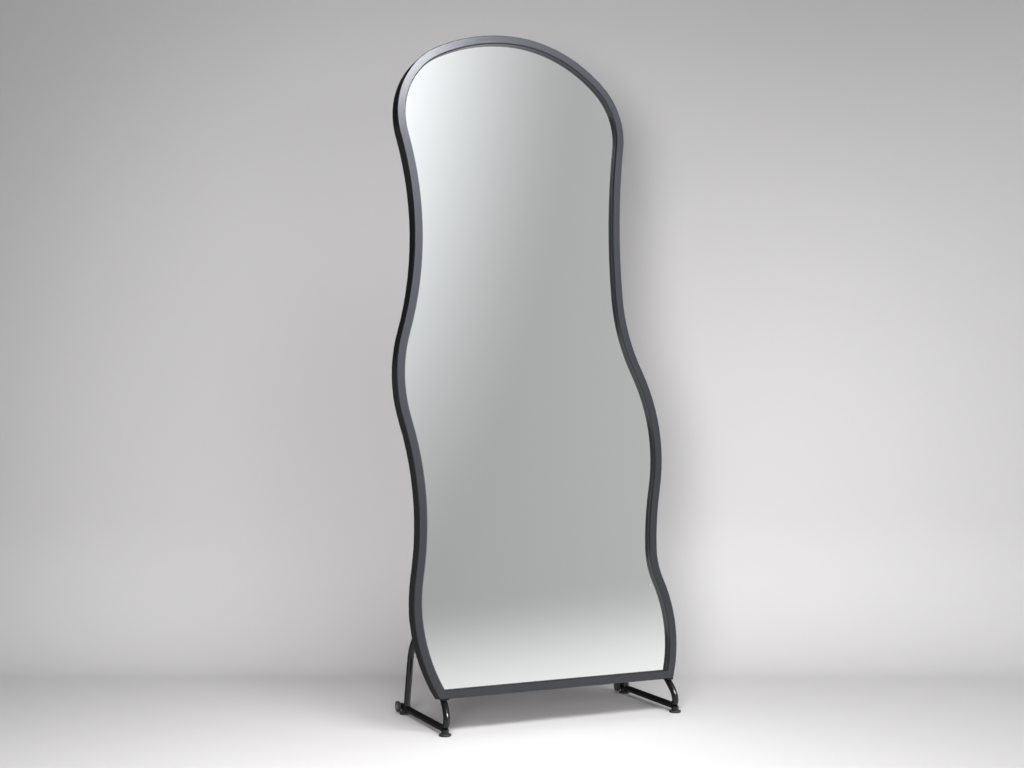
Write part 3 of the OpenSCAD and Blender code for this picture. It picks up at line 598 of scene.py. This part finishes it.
# even grey surroundings with pools of light and a pale band along the horizon, where the lit floor would be.
# They are dark behind the object, and where they are in view they are plain pale grey.
def makeWorld(look):
    world = bpy.data.worlds.new("studioWorld")
    bpy.context.scene.world = world
    world.use_nodes = True
    tree = world.node_tree
    tree.nodes.clear()
    output = addNode(tree, "ShaderNodeOutputWorld")
    background = addNode(tree, "ShaderNodeBackground")
    coords = addNode(tree, "ShaderNodeTexCoord")
    split = addNode(tree, "ShaderNodeSeparateXYZ")
    tree.links.new(coords.outputs["Generated"], split.inputs["Vector"])
    total = None
    for pool in look["pools"]:
        total = addTo(tree, total, lightPool(tree, coords.outputs["Generated"], pool))
    band = addNode(tree, "ShaderNodeMapRange", {
        "From Min": math.sin(math.radians(look["band"]["top"])),
        "From Max": math.sin(math.radians(look["band"]["full"])), "To Max": look["band"]["amount"]},
        interpolation_type="SMOOTHSTEP")
    tree.links.new(split.outputs["Z"], band.inputs["Value"])
    level = addNode(tree, "ShaderNodeCombineXYZ")
    for socket in "XYZ":
        tree.links.new(band.outputs["Result"], level.inputs[socket])
    total = addTo(tree, total, level.outputs["Vector"])
    plain = addNode(tree, "ShaderNodeVectorMath", {1: look["plain"]}, operation="ADD")
    tree.links.new(total, plain.inputs[0])
    behind = addNode(tree, "ShaderNodeMapRange", {
        "From Min": look["behind"]["from"], "From Max": look["behind"]["to"], "To Min": 1.0,
        "To Max": look["behind"]["amount"]}, interpolation_type="SMOOTHSTEP")
    tree.links.new(split.outputs["Y"], behind.inputs["Value"])
    dimmed = addNode(tree, "ShaderNodeVectorMath", operation="SCALE")
    tree.links.new(plain.outputs["Vector"], dimmed.inputs[0])
    tree.links.new(behind.outputs["Result"], dimmed.inputs["Scale"])
    path = addNode(tree, "ShaderNodeLightPath")
    seen = addNode(tree, "ShaderNodeMix", data_type="RGBA")
    seen.inputs["B"].default_value = look["seen"]
    tree.links.new(path.outputs["Is Camera Ray"], seen.inputs["Factor"])
    tree.links.new(dimmed.outputs["Vector"], seen.inputs["A"])
    tree.links.new(seen.outputs["Result"], background.inputs["Color"])
    tree.links.new(background.outputs["Background"], output.inputs["Surface"])


worldLook = {
    "plain": (0.223, 0.223, 0.223),
    "pools": [
        {"azimuth": 5.0, "elevation": 42.0, "size": (0.354, 0.643), "roll": 15.6, "full": 0.4, "fade": 1.65,
         "amount": 3.0, "tint": (0.975, 0.995, 1.03)},
        {"azimuth": 75.0, "elevation": 4.0, "size": (1.0, 1.0), "roll": 0.0, "full": 0.0, "fade": 1.0,
         "amount": 0.9, "tint": (1.0, 1.0, 1.0)},
    ],
    "band": {"top": 6.88, "full": 2.63, "amount": 0.50},
    "behind": {"from": -0.1, "to": 0.35, "amount": 0.12},
    "seen": (0.56, 0.55, 0.55, 1),
}
makeWorld(worldLook)


lampLook = {"blend": 1.0, "softRadius": 0.5}


# a round soft lamp that lights the paper and isn't seen in the glass or the gloss
def makeLight(look):
    light = bpy.data.lights.new(look["name"], "SPOT")
    light.spot_size = math.radians(look["cone"])
    light.spot_blend = lampLook["blend"]
    light.shadow_soft_size = lampLook["softRadius"]
    light.energy = look["power"]
    lamp = bpy.data.objects.new(look["name"], light)
    bpy.context.scene.collection.objects.link(lamp)
    lamp.location = look["place"]
    ahead = Vector(look["aim"]) - Vector(look["place"])
    lamp.rotation_euler = ahead.to_track_quat("-Z", "Y").to_euler()
    lamp.visible_glossy = False


lightsLook = [
    {"name": "floorRight", "place": (0.25, -1.25, 2.1), "aim": (0.45, -0.85, 0.0), "cone": 110, "power": 152},
    {"name": "floorLeft", "place": (-0.95, -1.45, 2.1), "aim": (-1.0, -1.0, 0.0), "cone": 108, "power": 285},
    {"name": "wallMiddle", "place": (0.0, -3.74, 1.3), "aim": (0.95, 0.62, 0.85), "cone": 46, "power": 105},
    {"name": "wallLeft", "place": (-2.1, -3.15, 1.1), "aim": (0.12, 1.0, 0.65), "cone": 47, "power": 560},
    {"name": "wallRight", "place": (0.5, -3.9, 1.3), "aim": (2.1, 0.1, 0.75), "cone": 46, "power": 305},
]
for light in lightsLook:
    makeLight(light)


# a large oval softbox, far enough off to be the same from every point of the frame: it gives the frame its
# shine and leaves the paper as it is
def makeSoftbox(look):
    away, across = lightDirections(look)
    turn = Matrix.Rotation(math.radians(look["roll"]), 3, away)
    light = bpy.data.lights.new("softbox", "AREA")
    light.shape = "ELLIPSE"
    light.size = 2 * look["distance"] * look["size"][0]
    light.size_y = 2 * look["distance"] * look["size"][1]
    light.energy = math.pi * light.size * light.size_y * look["brightness"]
    light.color = look["color"]
    lamp = bpy.data.objects.new("softbox", light)
    bpy.context.scene.collection.objects.link(lamp)
    lamp.location = away * look["distance"]
    lamp.rotation_euler = (turn @ Matrix((across, away.cross(across), away)).transposed()).to_euler()
    lamp.visible_diffuse = False


softboxLook = {
    "azimuth": 8.7, "elevation": 35.7, "size": (0.275, 0.087), "roll": -29.7, "distance": 400.0,
    "brightness": 34.0, "color": (0.975, 0.995, 1.03),
}
makeSoftbox(softboxLook)


# camera at the photograph's height and angle
def makeCamera(look):
    data = bpy.data.cameras.new("camera")
    data.sensor_width = look["sensor"]
    data.lens = look["lens"]
    data.clip_start = look["clip"][0]
    data.clip_end = look["clip"][1]
    camera = bpy.data.objects.new("camera", data)
    bpy.context.scene.collection.objects.link(camera)
    camera.location = look["place"]
    camera.rotation_euler = Euler((math.radians(90), 0, -math.radians(look["yaw"])))
    bpy.context.scene.camera = camera


cameraLook = {
    "lens": 53.9, "sensor": 36.0, "clip": (0.05, 60.0), "place": (-1.629, -3.434, 0.817), "yaw": 24.75,
}
makeCamera(cameraLook)

bpy.context.scene.view_settings.view_transform = "Standard"
print("studio ready")
